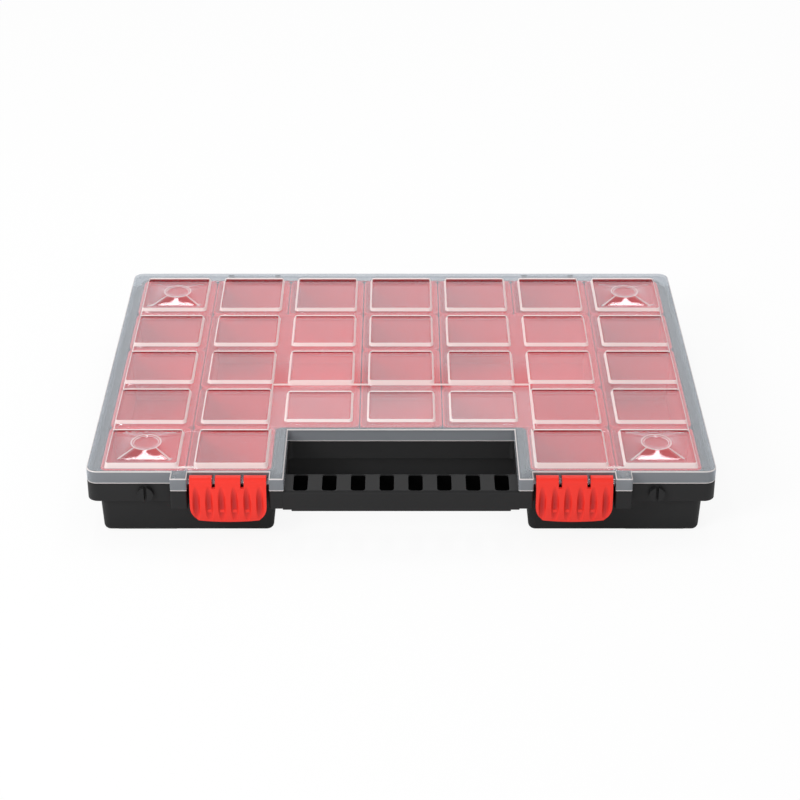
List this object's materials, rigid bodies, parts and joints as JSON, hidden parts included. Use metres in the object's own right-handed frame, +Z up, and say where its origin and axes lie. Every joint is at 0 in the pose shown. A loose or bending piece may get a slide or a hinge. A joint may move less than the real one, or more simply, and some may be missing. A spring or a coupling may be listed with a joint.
{
  "type": "modular organizer box",
  "caption": "Flat carry case for small parts: black tray with handle, hinged clear lid with raised pads, snap latches and lift-out red bins on a square grid.",
  "frame": {"origin": "on the floor under the middle of the closed case's box", "axes": "+X to the right seen from the handle side, +Y from the handle to the hinge, +Z up"},
  "size_m": [0.399, 0.303, 0.0538],
  "materials": {
    "black_tray_plastic": "satin moulded",
    "clear_lid_plastic": "clear, slightly milky",
    "red_latch_plastic": "satin gloss moulded",
    "red_bin_plastic": "satin gloss moulded"
  },
  "bodies": {
    "base": {"base_tray": "black_tray_plastic", "tray_flange": "black_tray_plastic", "tray_handle": "black_tray_plastic"},
    "lid": {"lid": "clear_lid_plastic", "lid_skirt": "clear_lid_plastic"},
    "latch_left": {"latch_left": "red_latch_plastic"},
    "latch_right": {"latch_right": "red_latch_plastic"},
    "single_bin_r1_c1": {"single_bin_r1_c1": "red_bin_plastic"},
    "single_bin_r1_c2": {"single_bin_r1_c2": "red_bin_plastic"},
    "single_bin_r1_c3": {"single_bin_r1_c3": "red_bin_plastic"},
    "single_bin_r1_c4": {"single_bin_r1_c4": "red_bin_plastic"},
    "single_bin_r1_c5": {"single_bin_r1_c5": "red_bin_plastic"},
    "single_bin_r1_c6": {"single_bin_r1_c6": "red_bin_plastic"},
    "single_bin_r1_c7": {"single_bin_r1_c7": "red_bin_plastic"},
    "single_bin_r2_c1": {"single_bin_r2_c1": "red_bin_plastic"},
    "single_bin_r2_c4": {"single_bin_r2_c4": "red_bin_plastic"},
    "single_bin_r2_c7": {"single_bin_r2_c7": "red_bin_plastic"},
    "single_bin_r5_c1": {"single_bin_r5_c1": "red_bin_plastic"},
    "single_bin_r5_c2": {"single_bin_r5_c2": "red_bin_plastic"},
    "single_bin_r5_c6": {"single_bin_r5_c6": "red_bin_plastic"},
    "single_bin_r5_c7": {"single_bin_r5_c7": "red_bin_plastic"},
    "square_bin_left": {"square_bin_left": "red_bin_plastic"},
    "wide_bin_left": {"wide_bin_left": "red_bin_plastic"},
    "square_bin_right": {"square_bin_right": "red_bin_plastic"},
    "wide_bin_right": {"wide_bin_right": "red_bin_plastic"},
    "deep_bin_left": {"deep_bin_left": "red_bin_plastic"},
    "deep_bin_middle": {"deep_bin_middle": "red_bin_plastic"},
    "deep_bin_right": {"deep_bin_right": "red_bin_plastic"}
  },
  "joints": [
    {"name": "lid_hinge", "type": "hinge", "parent": "base", "child": "lid", "pos_m": [0, 0.1486, 0.0417], "axis": [-1, 0, 0], "range_deg": [0, 180]},
    {"name": "latch_left_hinge", "type": "hinge", "parent": "lid", "child": "latch_left", "pos_m": [-0.109, -0.1455, 0.0433], "axis": [-1, 0, 0], "range_deg": [0, 120]},
    {"name": "latch_right_hinge", "type": "hinge", "parent": "lid", "child": "latch_right", "pos_m": [0.109, -0.1455, 0.0433], "axis": [-1, 0, 0], "range_deg": [0, 120]},
    {"name": "single_bin_r1_c1_lift", "type": "slide", "parent": "base", "child": "single_bin_r1_c1", "axis": [0, 0, 1], "range_m": [0, 0.0003]},
    {"name": "single_bin_r1_c2_lift", "type": "slide", "parent": "base", "child": "single_bin_r1_c2", "axis": [0, 0, 1], "range_m": [0, 0.0003]},
    {"name": "single_bin_r1_c3_lift", "type": "slide", "parent": "base", "child": "single_bin_r1_c3", "axis": [0, 0, 1], "range_m": [0, 0.0003]},
    {"name": "single_bin_r1_c4_lift", "type": "slide", "parent": "base", "child": "single_bin_r1_c4", "axis": [0, 0, 1], "range_m": [0, 0.0003]},
    {"name": "single_bin_r1_c5_lift", "type": "slide", "parent": "base", "child": "single_bin_r1_c5", "axis": [0, 0, 1], "range_m": [0, 0.0003]},
    {"name": "single_bin_r1_c6_lift", "type": "slide", "parent": "base", "child": "single_bin_r1_c6", "axis": [0, 0, 1], "range_m": [0, 0.0003]},
    {"name": "single_bin_r1_c7_lift", "type": "slide", "parent": "base", "child": "single_bin_r1_c7", "axis": [0, 0, 1], "range_m": [0, 0.0003]},
    {"name": "single_bin_r2_c1_lift", "type": "slide", "parent": "base", "child": "single_bin_r2_c1", "axis": [0, 0, 1], "range_m": [0, 0.0003]},
    {"name": "single_bin_r2_c4_lift", "type": "slide", "parent": "base", "child": "single_bin_r2_c4", "axis": [0, 0, 1], "range_m": [0, 0.0003]},
    {"name": "single_bin_r2_c7_lift", "type": "slide", "parent": "base", "child": "single_bin_r2_c7", "axis": [0, 0, 1], "range_m": [0, 0.0003]},
    {"name": "single_bin_r5_c1_lift", "type": "slide", "parent": "base", "child": "single_bin_r5_c1", "axis": [0, 0, 1], "range_m": [0, 0.0003]},
    {"name": "single_bin_r5_c2_lift", "type": "slide", "parent": "base", "child": "single_bin_r5_c2", "axis": [0, 0, 1], "range_m": [0, 0.0003]},
    {"name": "single_bin_r5_c6_lift", "type": "slide", "parent": "base", "child": "single_bin_r5_c6", "axis": [0, 0, 1], "range_m": [0, 0.0003]},
    {"name": "single_bin_r5_c7_lift", "type": "slide", "parent": "base", "child": "single_bin_r5_c7", "axis": [0, 0, 1], "range_m": [0, 0.0003]},
    {"name": "square_bin_left_lift", "type": "slide", "parent": "base", "child": "square_bin_left", "axis": [0, 0, 1], "range_m": [0, 0.0003]},
    {"name": "wide_bin_left_lift", "type": "slide", "parent": "base", "child": "wide_bin_left", "axis": [0, 0, 1], "range_m": [0, 0.0003]},
    {"name": "square_bin_right_lift", "type": "slide", "parent": "base", "child": "square_bin_right", "axis": [0, 0, 1], "range_m": [0, 0.0003]},
    {"name": "wide_bin_right_lift", "type": "slide", "parent": "base", "child": "wide_bin_right", "axis": [0, 0, 1], "range_m": [0, 0.0003]},
    {"name": "deep_bin_left_lift", "type": "slide", "parent": "base", "child": "deep_bin_left", "axis": [0, 0, 1], "range_m": [0, 0.0003]},
    {"name": "deep_bin_middle_lift", "type": "slide", "parent": "base", "child": "deep_bin_middle", "axis": [0, 0, 1], "range_m": [0, 0.0003]},
    {"name": "deep_bin_right_lift", "type": "slide", "parent": "base", "child": "deep_bin_right", "axis": [0, 0, 1], "range_m": [0, 0.0003]}
  ]
}
